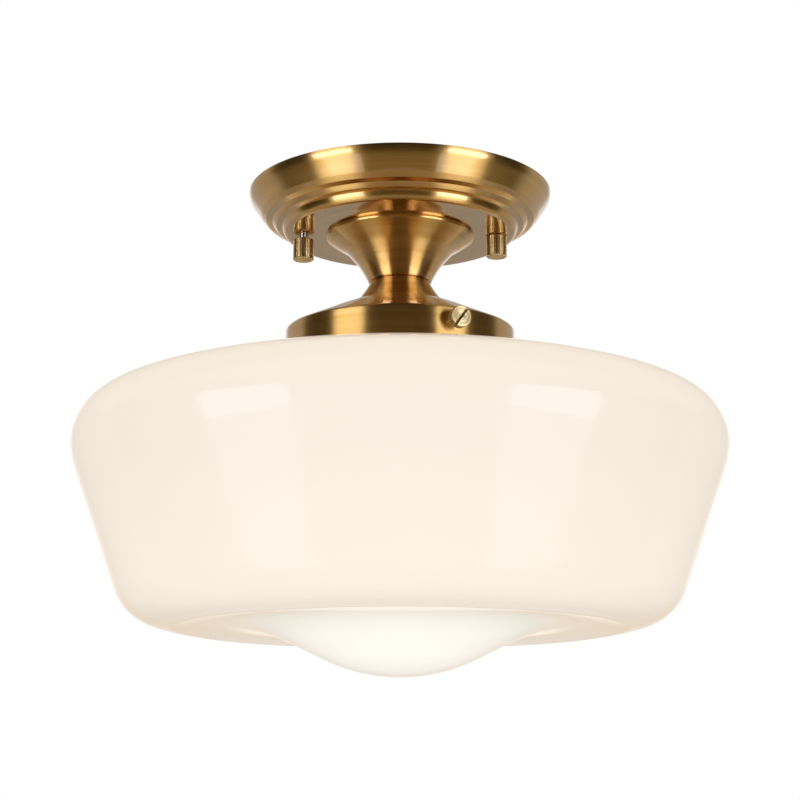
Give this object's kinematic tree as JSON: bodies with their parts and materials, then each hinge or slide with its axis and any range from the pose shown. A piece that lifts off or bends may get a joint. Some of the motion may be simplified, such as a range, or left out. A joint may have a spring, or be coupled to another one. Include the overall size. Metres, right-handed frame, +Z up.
{
  "type": "semi flush ceiling light",
  "caption": "Semi flush ceiling light: stepped brass canopy on knurled cap nuts, bell stem, shade holder with thumb screw, and a wide opal glass shade round a screw-in bulb.",
  "frame": {"origin": "centre of the top face of the mounting strap, in the plane of the ceiling and of the canopy's rim, on the lamp's axis", "axes": "+Z up along the lamp's axis into the ceiling; the lamp hangs down -Z; the front, as pictured, looks along -Y; the two cap nuts lie along X"},
  "size_m": [0.2996, 0.2996, 0.2261],
  "materials": {
    "satin_brass": "spun brass, satin brushed round its axis, clear lacquer",
    "turned_brass": "turned brass, paler, with fine tool marks",
    "zinc_steel": "zinc plated steel",
    "green_steel": "green passivated steel",
    "opal_glass": "cased opal glass, gloss, lit from inside",
    "porcelain": "white glaze",
    "contact_brass": "rolled brass, bright",
    "nickel": "nickel plated",
    "black_glass": "black glass insulator, gloss",
    "white_plastic": "moulded white plastic",
    "aluminium_board": "milled aluminium with white mask",
    "circuit_board": "green glass-epoxy board",
    "opal_plastic": "opal polycarbonate, lit"
  },
  "bodies": {
    "fixture": {"bell": "satin_brass", "canopy": "satin_brass", "canopy_stud_left": "zinc_steel", "canopy_stud_right": "zinc_steel", "center_contact": "contact_brass", "ground_screw": "green_steel", "holder_washer": "zinc_steel", "live_terminal_screw": "contact_brass", "lock_washer": "zinc_steel", "lower_tube_nut": "zinc_steel", "mounting_strap": "zinc_steel", "neck_collar": "satin_brass", "neutral_terminal_screw": "zinc_steel", "screw_bush": "turned_brass", "shade_holder": "satin_brass", "shade_rest_left": "turned_brass", "shade_rest_rear": "turned_brass", "socket_body": "porcelain", "socket_cap": "zinc_steel", "socket_screw_left": "zinc_steel", "socket_screw_right": "zinc_steel", "socket_shell": "contact_brass", "stud_locknut_left": "zinc_steel", "stud_locknut_right": "zinc_steel", "threaded_tube": "zinc_steel", "upper_tube_nut": "zinc_steel"},
    "cap_nut_left": {"cap_nut_left": "turned_brass"},
    "cap_nut_right": {"cap_nut_right": "turned_brass"},
    "thumb_screw": {"thumb_screw": "turned_brass"},
    "bulb": {"bulb_screw_base": "nickel", "bulb_insulator": "black_glass", "bulb_tip": "contact_brass", "bulb_housing": "white_plastic", "bulb_led_board": "aluminium_board", "bulb_driver_board": "circuit_board", "bulb_globe": "opal_plastic"},
    "shade": {"glass_shade": "opal_glass"}
  },
  "joints": [
    {"name": "cap_nut_left_travel", "type": "slide", "parent": "fixture", "child": "cap_nut_left", "axis": [0, 0, -1], "range_m": [-0.0015, 0.0066]},
    {"name": "cap_nut_right_travel", "type": "slide", "parent": "fixture", "child": "cap_nut_right", "axis": [0, 0, -1], "range_m": [0, 0.0081]},
    {"name": "thumb_screw_travel", "type": "slide", "parent": "fixture", "child": "thumb_screw", "axis": [0.4384, -0.8988, 0], "range_m": [0, 0.006]},
    {"name": "bulb_turn", "type": "hinge", "parent": "fixture", "child": "bulb", "pos_m": [0, 0, -0.095], "axis": [0, 0, -1], "range_deg": [0, 2160]},
    {"name": "shade_lift_off", "type": "slide", "parent": "fixture", "child": "shade", "axis": [0, 0, -1], "range_m": [0, 0.13]}
  ]
}
